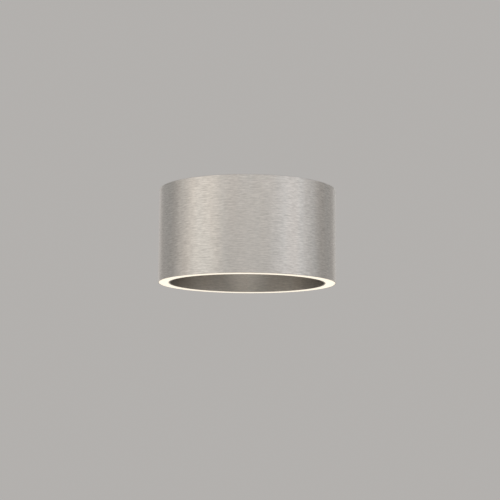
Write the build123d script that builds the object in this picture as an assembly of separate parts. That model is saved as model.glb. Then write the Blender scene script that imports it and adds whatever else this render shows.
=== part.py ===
from build123d import *

import os
from math import cos, pi, radians, sin

# Tube wall light. A short upright tube shines up and down past a wall. It is two sleeves, one
# inside the other, on a core ring, with a lit ring at each end of the gap between them. A box
# behind it holds the LED driver and hangs on a bracket on the wall.
#
# The wall is the plane y = 0, the light stands in front of it towards -Y, and +Z is up. The
# origin is on the wall, level with the middle of the tube. Sizes are in millimetres.

# ---- tube ----
TUBE_DIAMETER = 152.0
TUBE_HEIGHT = 80.0
OUTER_WALL = 0.8
BORE_DIAMETER = 132.0
INNER_WALL = 1.0
SLIDE_GAP = 0.1           # between the sleeves and what slides between them
WALL_GAP = 56.0           # from the wall to the back of the tube
EDGE_BREAK = 0.2          # small chamfer on the sleeves' ends

TUBE_R = TUBE_DIAMETER / 2
AXIS_Y = -(WALL_GAP + TUBE_R)
TUBE_TOP = TUBE_HEIGHT / 2
SPACE_OUT = TUBE_R - OUTER_WALL              # the gap between the sleeves, outer radius
SPACE_IN = BORE_DIAMETER / 2 + INNER_WALL    # the same gap, inner radius
FIT_OUT = SPACE_OUT - SLIDE_GAP
FIT_IN = SPACE_IN + SLIDE_GAP
MID_R = (SPACE_OUT + SPACE_IN) / 2

# ---- core ring, LED boards and diffusers ----
CORE_TOP = 16.0           # half of the core ring's height
BOARD_THICKNESS = 1.2
BOARD_EDGE = 0.1          # the boards are this much narrower than the core ring
BOARD_TOP = CORE_TOP + BOARD_THICKNESS
LED_COUNT = 48
LED_SIZE = (2.8, 3.5, 0.7)    # along the radius, round the ring, up
LENS_THICKNESS = 3.0
LENS_CROWN = 0.2          # the lit face is this much higher half way across than at its edges
LENS_SKIRT = 1.0
LENS_ROUND = 0.2
LENS_TOP = TUBE_TOP       # the lit face's edges are level with the sleeves' ends
RIB_ANGLES = range(30, 390, 60)
BOARD_SCREW_ANGLES = range(0, 360, 60)
SET_SCREW_ANGLES = (30, 150, 270)

# ---- threads, as radius; a tapped hole is drawn THREAD_GAP wider than its screw ----
M2, M3, M4 = 1.0, 1.5, 2.0
THREAD_GAP = 0.02
CLEARANCE = 0.15          # a plain screw hole is this much wider than its screw, in radius

# ---- box behind the tube ----
BOX_WIDTH = 92.0
BOX_HEIGHT = 58.0
BOX_WALL = 2.0
BOX_CORNER = 5.0
BOX_BACK = -0.5           # the box stops this far short of the wall
BOX_EDGE_BREAK = 0.4      # small chamfer round its open back
COPE_GAP = 0.1            # between the box's shaped mouth and the tube
BOX_IN_X = BOX_WIDTH / 2 - BOX_WALL
BOX_IN_Z = BOX_HEIGHT / 2 - BOX_WALL
FLAT_HEAD = 2.9           # head radius of the M3 countersunk screws

# ---- saddle in the mouth of the box ----
SADDLE_PLATE = 4.0
SADDLE_FIT = 0.1
SADDLE_WEB = 3.0
SADDLE_BACK = -46.0
BOLT_X, BOLT_Z = 18.0, 8.0             # the four screws into the core ring
BOLT_SEAT = -52.0
BOLT_LENGTH = 13.7
WEB_SCREW_X, WEB_SCREW_Y = 28.0, -53.0    # the screws between box and saddle
POST_X, POST_Z = 36.5, -9.0            # right-hand post; the left-hand one is opposite
POST_TOP = -44.0

# ---- bush between box and tube ----
BUSH_SEAT = -51.5
BUSH_R, BUSH_BORE = 4.0, 3.0
BUSH_FLANGE_R, BUSH_FLANGE = 6.5, 1.2
BUSH_END = -56.7

# ---- LED driver ----
DRIVER_X, DRIVER_Z = 30.0, 15.0        # half width and half height
DRIVER_FRONT, DRIVER_BACK = -44.0, -23.0
DRIVER_WALL = 1.5
DRIVER_BOARD = (-40.5, -38.9)          # front and back faces of its circuit board
BOARD_X, BOARD_Z = 27.5, 12.8
EAR = 2.0
LAMP_EXIT_Y = -33.5
LINE_EXIT = (-34.0, -4.0)              # y and z
NEUTRAL_EXIT = (-30.0, 0.0)
SOLDER_X = 24.5                        # where the leads stand on the driver's board
CHOKE = (-13.5, -6.5)                  # x and z
CHOKE_FLANGE, CHOKE_CORE, CHOKE_HEIGHT = 4.2, 3.2, 9.0

# ---- leads, along their routes ----
LAMP_LEAD = 1.5                        # diameter of the leads to the LED boards
LINK_LEAD = 1.2
MAINS_LEAD = 2.2
LEAD_Z = 1.2                           # the lamp leads run one above and one below the middle
LEAD_X, LEAD_Y = -1.1, -59.7           # where they stand inside the tube
LINK_X, LINK_Y = 1.1, -60.4
SLOT_HALF_WIDTH = 2.1                  # of the groove in the core ring for these leads
SLOT_FLOOR = -62.1

# ---- wall bracket ----
PLATE = 1.5
PLATE_X, PLATE_Z = 43.7, 25.0
EAR_FRONT, EAR_Z = -16.0, 12.0
LOCK_Y = -9.0                          # the screws that hold the box on the bracket
SLOT_X, SLOT_Z = 30.0, 12.0
SLOT_LENGTH, SLOT_WIDTH = 12.0, 5.0
ENTRY_Z = 12.0
ENTRY_BORE = 6.0
EARTH_X, EARTH_Z = 32.0, -12.0
EARTH_COLLAR = 1.5
EARTH_LEAD_Y = -4.9

# ---- terminal block ----
POLES = {"line": -12.0, "neutral": 0.0, "earth": 12.0}
BLOCK_X = 17.5
BLOCK_LOW, BLOCK_HIGH = -14.0, -1.5
BLOCK_MID = (BLOCK_LOW + BLOCK_HIGH) / 2
BLOCK_FRONT = -15.5
BLOCK_BASE = 1.2
FRONT_WALL = 2.5
POCKET_X, POCKET_Z = 3.6, 4.65         # half width and half height of each pocket
WIRE_Y = -8.0
BLOCK_SCREW_X = 6.0
BUTTON_X, BUTTON_Z = 2.3, 2.4          # half width and half height of a release button
BUTTON_FRONT = -17.3
BUTTON_GAP = 0.2
BUTTON_FLANGE = 0.8

OUT = "parts"


# ---- shared shapes ----
def slab(x_span, y_span, z_span):
    """A block between the lowest and highest x, y and z."""
    spans = (x_span, y_span, z_span)
    middle = [(low + high) / 2 for low, high in spans]
    return Pos(*middle) * Box(*[high - low for low, high in spans])


def rod(radius, y_span, x=0.0, z=0.0):
    """A round bar parallel to Y."""
    low, high = y_span
    return Pos(x, (low + high) / 2, z) * Rot(90, 0, 0) * Cylinder(radius, high - low)


def pin(radius, z_span, x=0.0, y=0.0):
    """A round bar parallel to Z."""
    low, high = z_span
    return Pos(x, y, (low + high) / 2) * Cylinder(radius, high - low)


def drum(radius, z_span):
    """A solid cylinder about the tube's axis."""
    return pin(radius, z_span, 0.0, AXIS_Y)


def ring(outer, inner, z_span):
    """A ring about the tube's axis."""
    return drum(outer, z_span) - drum(inner, z_span)


def prism(half_x, half_z, corner, y_span):
    """A block along Y with rounded corners, seen from the front."""
    low, high = y_span
    face = Plane(origin=(0, high, 0), x_dir=(1, 0, 0), z_dir=(0, -1, 0))
    return extrude(face * RectangleRounded(2 * half_x, 2 * half_z, corner), high - low)


def polar(radius, angle, z=0.0):
    """A point on a circle about the tube's axis; 270 degrees is the front."""
    turn = radians(angle)
    return (radius * cos(turn), AXIS_Y + radius * sin(turn), z)


def outward(angle):
    """The direction away from the tube's axis."""
    return (cos(radians(angle)), sin(radians(angle)), 0)


def stand(shape, point, out):
    """Move a shape made about Z so that its +Z points along out from a point."""
    return Plane(origin=point, z_dir=out).location * shape


def upside_down(shape):
    """The mirror image on the other side of the tube's middle."""
    return mirror(shape, about=Plane.XY)


def lathe(*outline):
    """A solid of revolution about Z from (radius, z) points."""
    return revolve(Plane.XZ * make_face(Polyline(*outline, close=True)), Axis.Z)


# ---- screws: they point down, and their head's seat is at z = 0 ----
def hex_socket(across, depth, top):
    """The space for a hexagon key, cut down from a height."""
    return extrude(Pos(0, 0, top - depth) * RegularPolygon(across / 2, 6, major_radius=False), depth)


def pan_screw(thread, length, head, head_height):
    """A low domed head on a plain shank."""
    tip = thread * 0.3
    dome = head_height * 0.45
    body = lathe(
        (0, -length), (thread - tip, -length), (thread, tip - length), (thread, 0), (head, 0),
        (head, head_height - dome), (head - dome, head_height), (0, head_height),
    )
    return body - hex_socket(thread * 1.3, head_height * 0.55, head_height)


def flat_screw(thread, length, head):
    """A countersunk head, whose top is at z = 0."""
    tip = thread * 0.3
    rim = 0.2
    body = lathe(
        (0, -length), (thread - tip, -length), (thread, tip - length),
        (thread, thread - head - rim), (head, -rim), (head, 0), (0, 0),
    )
    return body - hex_socket(thread * 1.3, thread * 0.8, 0)


def flat_hole(thread, head, depth):
    """The hole that a countersunk screw drops into, from z = 0 down."""
    wide = head + CLEARANCE
    narrow = thread + CLEARANCE
    return lathe(
        (0, -depth), (narrow, -depth), (narrow, narrow - wide - 0.2), (wide, -0.2), (wide, 1), (0, 1)
    )


def set_screw(thread, length):
    """A headless screw with its socket at z = 0."""
    return Pos(0, 0, -length / 2) * Cylinder(thread, length) - hex_socket(thread, length / 3, 0)


# ---- leads ----
def lead(name, route, radii, diameter):
    """A round wire along a route of straight runs, with one arc for each corner."""
    path = FilletPolyline(*route, radius=list(radii))
    wire = sweep(Plane(origin=path @ 0, z_dir=path % 0) * Circle(diameter / 2), path=path)
    drift = wire.volume / (pi * diameter ** 2 / 4 * path.length) - 1
    print(f"{name}: {path.length:.1f} mm long, radii {list(radii)}, volume off by {drift:.2%}")
    return wire


# ---- tube ----
def rear_bolt_points():
    """The four screws through saddle and sleeve into the core ring, as (x, z)."""
    return [(x, z) for x in (-BOLT_X, BOLT_X) for z in (-BOLT_Z, BOLT_Z)]


def outer_sleeve():
    whole = ring(TUBE_R, SPACE_OUT, (-TUBE_TOP, TUBE_TOP))
    whole = chamfer(whole.edges().filter_by(GeomType.CIRCLE).group_by(Axis.Z)[-1], EDGE_BREAK)
    whole = chamfer(whole.edges().filter_by(GeomType.CIRCLE).group_by(Axis.Z)[0], EDGE_BREAK)
    back = (AXIS_Y + MID_R - 5, -WALL_GAP + 5)
    for x, z in rear_bolt_points():
        whole -= rod(M4 + 2 * CLEARANCE, back, x, z)
    return whole - rod(BUSH_R + SLIDE_GAP, back)


def inner_sleeve():
    whole = ring(SPACE_IN, BORE_DIAMETER / 2, (-TUBE_TOP, TUBE_TOP))
    whole = chamfer(whole.edges().filter_by(GeomType.CIRCLE).group_by(Axis.Z)[-1], EDGE_BREAK)
    return chamfer(whole.edges().filter_by(GeomType.CIRCLE).group_by(Axis.Z)[0], EDGE_BREAK)


def core_ring():
    whole = ring(FIT_OUT, FIT_IN, (-CORE_TOP, CORE_TOP))
    whole -= slab((-SLOT_HALF_WIDTH, SLOT_HALF_WIDTH), (SLOT_FLOOR, -WALL_GAP), (-20, 20))
    for x, z in rear_bolt_points():
        whole -= rod(M4 + THREAD_GAP, (BOLT_SEAT - BOLT_LENGTH - 0.3, -WALL_GAP), x, z)
    for angle in SET_SCREW_ANGLES:
        hole = Cylinder(M3 + THREAD_GAP, 12)
        whole -= stand(hole, polar(MID_R, angle), outward(angle))
    for angle in BOARD_SCREW_ANGLES:
        x, y, _ = polar(MID_R, angle)
        whole -= pin(M2 + THREAD_GAP, (CORE_TOP - 4, CORE_TOP + 1), x, y)
        whole -= pin(M2 + THREAD_GAP, (-CORE_TOP - 1, 4 - CORE_TOP), x, y)
    return whole


def core_set_screws():
    screw = set_screw(M3, 6.0)
    top = SPACE_IN + 0.05 + 6.0
    return [stand(screw, polar(top, angle), outward(angle)) for angle in SET_SCREW_ANGLES]


def led_board():
    board = ring(FIT_OUT - BOARD_EDGE, FIT_IN + 2 * BOARD_EDGE, (CORE_TOP, BOARD_TOP))
    for angle in BOARD_SCREW_ANGLES:
        x, y, _ = polar(MID_R, angle)
        board -= pin(M2 + CLEARANCE, (CORE_TOP - 1, BOARD_TOP + 1), x, y)
    board -= pin(LAMP_LEAD / 2 + 0.05, (CORE_TOP - 1, BOARD_TOP + 1), LEAD_X, LEAD_Y)
    return board - pin(LINK_LEAD / 2 + 0.05, (CORE_TOP - 1, BOARD_TOP + 1), LINK_X, LINK_Y)


def leds():
    """A ring of LED packages, none of them on a screw or on a solder joint."""
    radial, round_ring, high = LED_SIZE
    package = Box(radial, round_ring, high)
    step = 360 / LED_COUNT
    places = [polar(MID_R, (k + 0.5) * step, BOARD_TOP + high / 2) for k in range(LED_COUNT)]
    return [Pos(*place) * Rot(0, 0, (k + 0.5) * step) * package for k, place in enumerate(places)]


def board_screws():
    screw = pan_screw(M2, 5.0, 1.9, 1.2)
    above = [stand(screw, polar(MID_R, angle, BOARD_TOP), (0, 0, 1)) for angle in BOARD_SCREW_ANGLES]
    return above + [upside_down(one) for one in above]


def solder_joints():
    dome = Sphere(0.85) & Pos(0, 0, 0.5) * Box(2, 2, 1)
    places = ((LEAD_X, LEAD_Y), (LINK_X, LINK_Y))
    above = [Pos(x, y, BOARD_TOP) * dome for x, y in places]
    return above + [upside_down(one) for one in above]


def diffuser():
    """An opal ring with a crowned face and two skirts that stand on the LED board."""
    inner, outer = (FIT_IN, LENS_TOP), (FIT_OUT, LENS_TOP)
    crown = ThreePointArc(inner, (MID_R, LENS_TOP + LENS_CROWN), outer)
    sides = Polyline(outer, (FIT_OUT, BOARD_TOP), (FIT_IN, BOARD_TOP), inner)
    section = make_face([*crown.edges(), *sides.edges()])
    whole = Pos(0, AXIS_Y, 0) * revolve(Plane.XZ * section, Axis.Z)
    hollow = (BOARD_TOP, LENS_TOP - LENS_THICKNESS)
    whole -= ring(FIT_OUT - LENS_SKIRT, FIT_IN + LENS_SKIRT, hollow)
    rims = whole.edges().filter_by(Plane.XY)
    whole = fillet([e for e in rims if abs(e.center().Z - LENS_TOP) < 0.01], LENS_ROUND)
    reach = SPACE_OUT - 0.03
    for angle in RIB_ANGLES:
        rib = Box(0.6, 1.0, 10.0)
        place = polar(reach - 0.3, angle, LENS_TOP - LENS_THICKNESS - 6)
        whole += Pos(*place) * Rot(0, 0, angle) * rib
    return whole


# ---- saddle, bush and box ----
def post_points():
    """The two posts that the driver is screwed to, as (x, z)."""
    return [(POST_X, POST_Z), (-POST_X, -POST_Z)]


def saddle_plate():
    half_x, half_z = BOX_IN_X - SADDLE_FIT, BOX_IN_Z - SADDLE_FIT
    corner = BOX_CORNER - BOX_WALL
    tall = (-BOX_HEIGHT, BOX_HEIGHT)
    whole = prism(half_x, half_z, corner, (AXIS_Y + 50, SADDLE_BACK))
    inside = slab((-BOX_WIDTH, BOX_WIDTH), (AXIS_Y, 0), (SADDLE_WEB - half_z, half_z - SADDLE_WEB))
    whole -= inside - drum(TUBE_R + SADDLE_PLATE, tall)
    for x, z in rear_bolt_points():
        whole += rod(5.0, (BOLT_SEAT - 10, BOLT_SEAT), x, z)
    whole += rod(7.5, (BUSH_SEAT - 5, BUSH_SEAT))
    for x, z in post_points():
        whole += rod(3.5, (POST_TOP - 20, POST_TOP), x, z)
    whole -= drum(TUBE_R, tall)
    for x, z in rear_bolt_points():
        whole -= rod(M4 + 2 * CLEARANCE, (BOLT_SEAT - 15, BOLT_SEAT + 1), x, z)
    whole -= rod(BUSH_R + SLIDE_GAP, (BUSH_SEAT - 15, BUSH_SEAT + 1))
    for x, z in post_points():
        whole -= rod(M3 + THREAD_GAP, (POST_TOP - 7, POST_TOP + 1), x, z)
    for x in (-WEB_SCREW_X, WEB_SCREW_X):
        whole -= pin(M3 + THREAD_GAP, tall, x, WEB_SCREW_Y)
    return whole


def saddle_screws():
    screw = pan_screw(M4, BOLT_LENGTH, 3.8, 2.4)
    return [stand(screw, (x, BOLT_SEAT, z), (0, 1, 0)) for x, z in rear_bolt_points()]


def wire_bush():
    """A top hat in nylon, which keeps the leads off the metal's edges."""
    length = BUSH_SEAT - BUSH_END
    hat = lathe(
        (BUSH_BORE, -length), (BUSH_R, -length), (BUSH_R, 0), (BUSH_FLANGE_R, 0),
        (BUSH_FLANGE_R, BUSH_FLANGE - 0.4), (BUSH_FLANGE_R - 0.4, BUSH_FLANGE),
        (BUSH_BORE + 0.6, BUSH_FLANGE), (BUSH_BORE, BUSH_FLANGE - 0.6),
    )
    return stand(hat, (0, BUSH_SEAT, 0), (0, 1, 0))


def wall_box():
    """A square tube on its side, with its mouth shaped to the lamp's tube."""
    whole = prism(BOX_WIDTH / 2, BOX_HEIGHT / 2, BOX_CORNER, (AXIS_Y + 55, BOX_BACK))
    whole -= prism(BOX_IN_X, BOX_IN_Z, BOX_CORNER - BOX_WALL, (AXIS_Y + 50, 1))
    whole = chamfer(whole.edges().group_by(Axis.Y)[-1], BOX_EDGE_BREAK)
    whole -= drum(TUBE_R + COPE_GAP, (-BOX_HEIGHT, BOX_HEIGHT))
    hole = flat_hole(M3, FLAT_HEAD, 4)
    for side in (-1, 1):
        for x in (-WEB_SCREW_X, WEB_SCREW_X):
            whole -= stand(hole, (x, WEB_SCREW_Y, side * BOX_HEIGHT / 2), (0, 0, side))
        whole -= stand(hole, (side * BOX_WIDTH / 2, LOCK_Y, 0), (side, 0, 0))
    return whole


def box_screws():
    screw = flat_screw(M3, 5.0, FLAT_HEAD)
    return [
        stand(screw, (x, WEB_SCREW_Y, side * BOX_HEIGHT / 2), (0, 0, side))
        for x in (-WEB_SCREW_X, WEB_SCREW_X)
        for side in (-1, 1)
    ]


def lock_screws():
    screw = flat_screw(M3, 6.0, FLAT_HEAD)
    return [stand(screw, (side * BOX_WIDTH / 2, LOCK_Y, 0), (side, 0, 0)) for side in (-1, 1)]


# ---- LED driver ----
def driver_lead_holes():
    """The holes in the case that the four leads leave by."""
    right = [(LAMP_LEAD / 2, LAMP_EXIT_Y, LEAD_Z), (LAMP_LEAD / 2, LAMP_EXIT_Y, -LEAD_Z)]
    left = [(MAINS_LEAD / 2, *LINE_EXIT), (MAINS_LEAD / 2, *NEUTRAL_EXIT)]
    holes = []
    for side, exits in ((1, right), (-1, left)):
        for radius, y, z in exits:
            bar = Cylinder(radius + 0.1, 4)
            holes.append(stand(bar, (side * (DRIVER_X - DRIVER_WALL / 2), y, z), (side, 0, 0)))
    return holes


def driver_case():
    """A tray that opens towards the wall, with an ear at each end."""
    rim = DRIVER_BACK - DRIVER_WALL
    whole = prism(DRIVER_X, DRIVER_Z, 2.0, (DRIVER_FRONT, rim))
    floor = DRIVER_FRONT + DRIVER_WALL
    whole -= prism(DRIVER_X - DRIVER_WALL, DRIVER_Z - DRIVER_WALL, 0.6, (floor, rim + 1))
    for x, z in post_points():
        side = 1 if x > 0 else -1
        span = sorted((side * (DRIVER_X - 1), x))
        thick = (DRIVER_FRONT, DRIVER_FRONT + EAR)
        whole += slab(span, thick, (z - 4.5, z + 4.5)) + rod(4.5, thick, x, z)
        whole -= rod(M3 + CLEARANCE, (DRIVER_FRONT - 1, DRIVER_FRONT + EAR + 1), x, z)
    for x in (-22, 22):
        for z in (-10, 10):
            whole += rod(1.8, (floor, DRIVER_BOARD[0]), x, z)
    for hole in driver_lead_holes():
        whole -= hole
    return whole


def driver_lid():
    """The lid lies on the tray's rim, and its lip fits inside."""
    rim = DRIVER_BACK - DRIVER_WALL
    inner_x, inner_z = DRIVER_X - DRIVER_WALL - 0.1, DRIVER_Z - DRIVER_WALL - 0.1
    lip = prism(inner_x, inner_z, 0.6, (rim - 1.5, rim))
    lip -= prism(inner_x - 1, inner_z - 1, 0.4, (rim - 2, rim))
    return prism(DRIVER_X, DRIVER_Z, 2.0, (rim, DRIVER_BACK)) + lip


def driver_board():
    board = slab((-BOARD_X, BOARD_X), DRIVER_BOARD, (-BOARD_Z, BOARD_Z))
    for side in (-1, 1):
        board -= rod(LAMP_LEAD / 2 + 0.05, (-42, -37), SOLDER_X, side * LEAD_Z)
    for z in (LINE_EXIT[1], NEUTRAL_EXIT[1]):
        board -= rod(MAINS_LEAD / 2 + 0.05, (-42, -37), -SOLDER_X, z)
    return board


def transformer_leg():
    """The core's middle leg, parallel to Z, which carries the winding."""
    base = DRIVER_BOARD[1]
    return slab((0, 4), (base + 4.5, base + 9.5), (-8, 8))


def driver_transformer():
    """A ferrite core on two feet: a frame with a middle leg."""
    base = DRIVER_BOARD[1]
    core = slab((-6, 10), (base + 1.5, base + 12.5), (-8.5, 8.5))
    core -= slab((-3, 7), (base + 1, base + 13), (-6, 6))
    return core + transformer_leg() + slab((-5, 9), (base, base + 1.5), (-7, 7))


def driver_windings():
    """The coil round the transformer's middle leg, and the choke's."""
    base = DRIVER_BOARD[1]
    coil = slab((-2.8, 6.8), (base + 1.8, base + 12.2), (-5.6, 5.6))
    coil = fillet(coil.edges().filter_by(Axis.Z), 2.0) - transformer_leg()
    wound = (base + 1.5, base + CHOKE_HEIGHT - 1.5)
    return [coil, rod(CHOKE_CORE + 0.6, wound, *CHOKE) - rod(CHOKE_CORE, wound, *CHOKE)]


def driver_capacitors():
    base = DRIVER_BOARD[1]
    large = fillet(rod(4.5, (base, base + 12.5), 16.0, 6.5).edges().group_by(Axis.Y)[-1], 0.6)
    small = fillet(rod(3.0, (base, base + 10.0), 16.0, -7.5).edges().group_by(Axis.Y)[-1], 0.5)
    film = slab((-21, -14), (base, base + 9), (4.5, 11.5))
    return [large, small, film]


def driver_choke():
    """A ferrite spool on the board."""
    base, top = DRIVER_BOARD[1], DRIVER_BOARD[1] + CHOKE_HEIGHT
    spool = rod(CHOKE_FLANGE, (base, base + 1.5), *CHOKE) + rod(CHOKE_CORE, (base, top), *CHOKE)
    return spool + rod(CHOKE_FLANGE, (top - 1.5, top), *CHOKE)


def driver_parts():
    """The small parts: fuse, surge disc, rectifier, diode and resistor, and two chips in front."""
    front, base = DRIVER_BOARD
    fuse = pin(1.6, (3.2, 11.2), -25.0, base + 1.6)
    disc = stand(Cylinder(3.2, 3.0), (-24.5, base + 3.2, -9.2), (1, 0, 0))
    rectifier = slab((-12.5, -8.5), (base, base + 6.5), (1.5, 8.5))
    rectifier = chamfer(rectifier.edges().filter_by(Axis.Y).group_by(Axis.Z)[-1], 0.8)
    diode = slab((21.8, 24.2), (base, base + 3.0), (4.5, 11.0))
    resistor = slab((21.6, 25.6), (base, base + 2.2), (-11.0, -5.0))
    controller = slab((-4.0, 2.0), (front - 1.4, front), (-2.5, 2.5))
    switch = slab((8.0, 14.0), (front - 1.6, front), (-3.2, 3.2))
    return [fuse, disc, rectifier, diode, resistor, controller, switch]


def driver_screws():
    screw = pan_screw(M3, 8.0, 2.75, 1.8)
    seat = DRIVER_FRONT + EAR
    return [stand(screw, (x, seat, z), (0, 1, 0)) for x, z in post_points()]


# ---- wall bracket and what is fixed to it ----
def wall_bracket():
    """A flat plate on the wall, with an ear bent forward at each side for the lock screws."""
    whole = prism(PLATE_X, PLATE_Z, 3.0, (-PLATE, 0))
    face = Plane(origin=(0, 1, 0), x_dir=(1, 0, 0), z_dir=(0, -1, 0))
    for side in (-1, 1):
        ear = slab((PLATE_X - PLATE, PLATE_X), (EAR_FRONT, 0), (-EAR_Z, EAR_Z))
        ear = fillet(ear.edges().filter_by(Axis.X).group_by(Axis.Y)[0], 3.0)
        hole = stand(Cylinder(M3 + THREAD_GAP, 6), (PLATE_X, LOCK_Y, 0), (1, 0, 0))
        ear -= hole
        whole += ear if side > 0 else mirror(ear, about=Plane.YZ)
        slot = Pos(side * SLOT_X, SLOT_Z) * SlotOverall(SLOT_LENGTH, SLOT_WIDTH)
        whole -= extrude(face * slot, 4)
    whole += rod(3.6, (-PLATE - EARTH_COLLAR, -PLATE), EARTH_X, EARTH_Z)
    whole -= rod(M4 + THREAD_GAP, (-6, 1), EARTH_X, EARTH_Z)
    whole -= rod(9.0, (-4, 1), 0, ENTRY_Z)
    for x in (-BLOCK_SCREW_X, BLOCK_SCREW_X):
        whole -= rod(M3 + THREAD_GAP, (-4, 1), x, BLOCK_MID)
    return whole


def entry_bush():
    """A soft bush in the bracket for the house wiring."""
    front = 4.2
    hat = lathe(
        (ENTRY_BORE, 0), (8.95, 0), (8.95, PLATE), (10.0, PLATE), (10.0, 2.3), (9.6, 2.7),
        (7.6, 2.7), (7.2, front), (ENTRY_BORE, front),
    )
    return stand(hat, (0, 0, ENTRY_Z), (0, -1, 0))


def terminal_block():
    """A housing with a pocket for each pole, open at the back."""
    back = -PLATE - BLOCK_BASE
    pocket_front = BLOCK_FRONT + FRONT_WALL
    whole = prism(BLOCK_X, (BLOCK_HIGH - BLOCK_LOW) / 2, 1.0, (BLOCK_FRONT, back))
    whole = Pos(0, 0, BLOCK_MID) * whole
    for x in POLES.values():
        pocket_z = (BLOCK_MID - POCKET_Z, BLOCK_MID + POCKET_Z)
        whole -= slab((x - POCKET_X, x + POCKET_X), (pocket_front, back + 1), pocket_z)
        guide_x = (x - BUTTON_X - BUTTON_GAP, x + BUTTON_X + BUTTON_GAP)
        guide_z = (BLOCK_MID - BUTTON_Z - BUTTON_GAP, BLOCK_MID + BUTTON_Z + BUTTON_GAP)
        whole -= slab(guide_x, (BLOCK_FRONT - 1, pocket_front + 1), guide_z)
        whole -= pin(1.7, (BLOCK_MID, BLOCK_HIGH + 1), x, WIRE_Y)
        whole -= pin(MAINS_LEAD / 2 + 0.1, (BLOCK_LOW - 1, BLOCK_MID), x, WIRE_Y)
    for x in (-BLOCK_SCREW_X, BLOCK_SCREW_X):
        whole -= rod(M3 + CLEARANCE, (-20, 0), x, BLOCK_MID)
        whole -= rod(2.95, (BLOCK_FRONT - 1, BLOCK_FRONT + 1.5), x, BLOCK_MID)
    return whole


def terminal_base():
    base = slab((-BLOCK_X, BLOCK_X), (-PLATE - BLOCK_BASE, -PLATE), (BLOCK_LOW, BLOCK_HIGH))
    base = fillet(base.edges().filter_by(Axis.Y), 1.0)
    for x in (-BLOCK_SCREW_X, BLOCK_SCREW_X):
        base -= rod(M3 + CLEARANCE, (-4, 0), x, BLOCK_MID)
    return base


def terminal_clamps():
    """A metal cage in each pocket, with a hole in each jaw for its wire."""
    clamps = []
    for x in POLES.values():
        span_y = (-10.2, -3.2)
        cage = slab((x - 2.8, x + 2.8), span_y, (BLOCK_MID - 4.3, BLOCK_MID + 4.3))
        cage -= slab((x - 4, x + 4), (-12, -4.2), (BLOCK_MID - 3.6, BLOCK_MID + 3.6))
        cage -= pin(1.75, (BLOCK_MID, BLOCK_HIGH), x, WIRE_Y)
        cage -= pin(MAINS_LEAD / 2 + 0.1, (BLOCK_LOW, BLOCK_MID), x, WIRE_Y)
        clamps.append(cage)
    return clamps


def terminal_screws():
    screw = pan_screw(M3, 13.7, 2.75, 1.6)
    seat = BLOCK_FRONT + 1.5
    return [stand(screw, (x, seat, BLOCK_MID), (0, -1, 0)) for x in (-BLOCK_SCREW_X, BLOCK_SCREW_X)]


def release_button(x):
    """A button that slides in the block's front wall, held in by a flange behind that wall."""
    flange_front = BLOCK_FRONT + FRONT_WALL + BUTTON_GAP
    flange_back = flange_front + BUTTON_FLANGE
    span_z = (BLOCK_MID - BUTTON_Z, BLOCK_MID + BUTTON_Z)
    stem = slab((x - BUTTON_X, x + BUTTON_X), (BUTTON_FRONT, flange_back), span_z)
    stem = fillet(stem.edges().group_by(Axis.Y)[0], 0.4)
    groove = slab((x - 3, x + 3), (BUTTON_FRONT - 1, BUTTON_FRONT + 0.7), (-0.4, 0.4))
    flange = (BLOCK_MID - 3.2, BLOCK_MID + 3.2)
    stem += slab((x - 3.1, x + 3.1), (flange_front, flange_back), flange)
    return stem - Pos(0, 0, BLOCK_MID) * groove


def earth_lug():
    """A ring terminal on the earth screw, with its barrel pointing down."""
    face = -PLATE - EARTH_COLLAR
    tongue = rod(4.0, (face - 0.8, face), EARTH_X, EARTH_Z)
    tongue += slab((EARTH_X - 2.4, EARTH_X + 2.4), (face - 0.8, face), (EARTH_Z - 7, EARTH_Z))
    barrel = (EARTH_Z - 8.5, EARTH_Z - 4.2)
    tongue += pin(1.9, barrel, EARTH_X, EARTH_LEAD_Y)
    tongue -= pin(MAINS_LEAD / 2 + 0.05, (EARTH_Z - 9, EARTH_Z - 4.9), EARTH_X, EARTH_LEAD_Y)
    return tongue - rod(M4 + CLEARANCE, (-10, 0), EARTH_X, EARTH_Z)


def earth_screw():
    seat = -PLATE - EARTH_COLLAR - 0.8
    return stand(pan_screw(M4, 3.6, 3.5, 2.2), (EARTH_X, seat, EARTH_Z), (0, -1, 0))


# ---- leads ----
def lamp_lead():
    """From the driver round its end, along the saddle, through the bush and up to the board."""
    route = [
        (SOLDER_X, DRIVER_BOARD[0], LEAD_Z),
        (SOLDER_X, LAMP_EXIT_Y, LEAD_Z),
        (39.5, LAMP_EXIT_Y, LEAD_Z),
        (39.5, -47.2, LEAD_Z),
        (LEAD_X, -47.2, LEAD_Z),
        (LEAD_X, LEAD_Y, LEAD_Z),
        (LEAD_X, LEAD_Y, BOARD_TOP),
    ]
    return lead("lamp lead", route, (3.5, 5.0, 5.5, 3.5, 3.0), LAMP_LEAD)


def link_lead():
    return pin(LINK_LEAD / 2, (-BOARD_TOP, BOARD_TOP), LINK_X, LINK_Y)


def line_lead():
    """From the terminal block along the box's corner and up to the driver."""
    y, z = LINE_EXIT
    route = [
        (POLES["line"], WIRE_Y, BLOCK_LOW + 3),
        (POLES["line"], WIRE_Y, -20.0),
        (-38.5, WIRE_Y, -20.0),
        (-38.5, y, -20.0),
        (-38.5, y, z),
        (-SOLDER_X, y, z),
        (-SOLDER_X, DRIVER_BOARD[0], z),
    ]
    return lead("line lead", route, (4.5, 9.0, 7.0, 6.5, 3.5), MAINS_LEAD)


def neutral_lead():
    y, z = NEUTRAL_EXIT
    route = [
        (POLES["neutral"], WIRE_Y, BLOCK_LOW + 3),
        (POLES["neutral"], WIRE_Y, -22.8),
        (-35.5, WIRE_Y, -22.8),
        (-35.5, y, -22.8),
        (-35.5, y, z),
        (-SOLDER_X, y, z),
        (-SOLDER_X, DRIVER_BOARD[0], z),
    ]
    return lead("neutral lead", route, (5.5, 8.5, 8.5, 4.8, 4.5), MAINS_LEAD)


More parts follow.
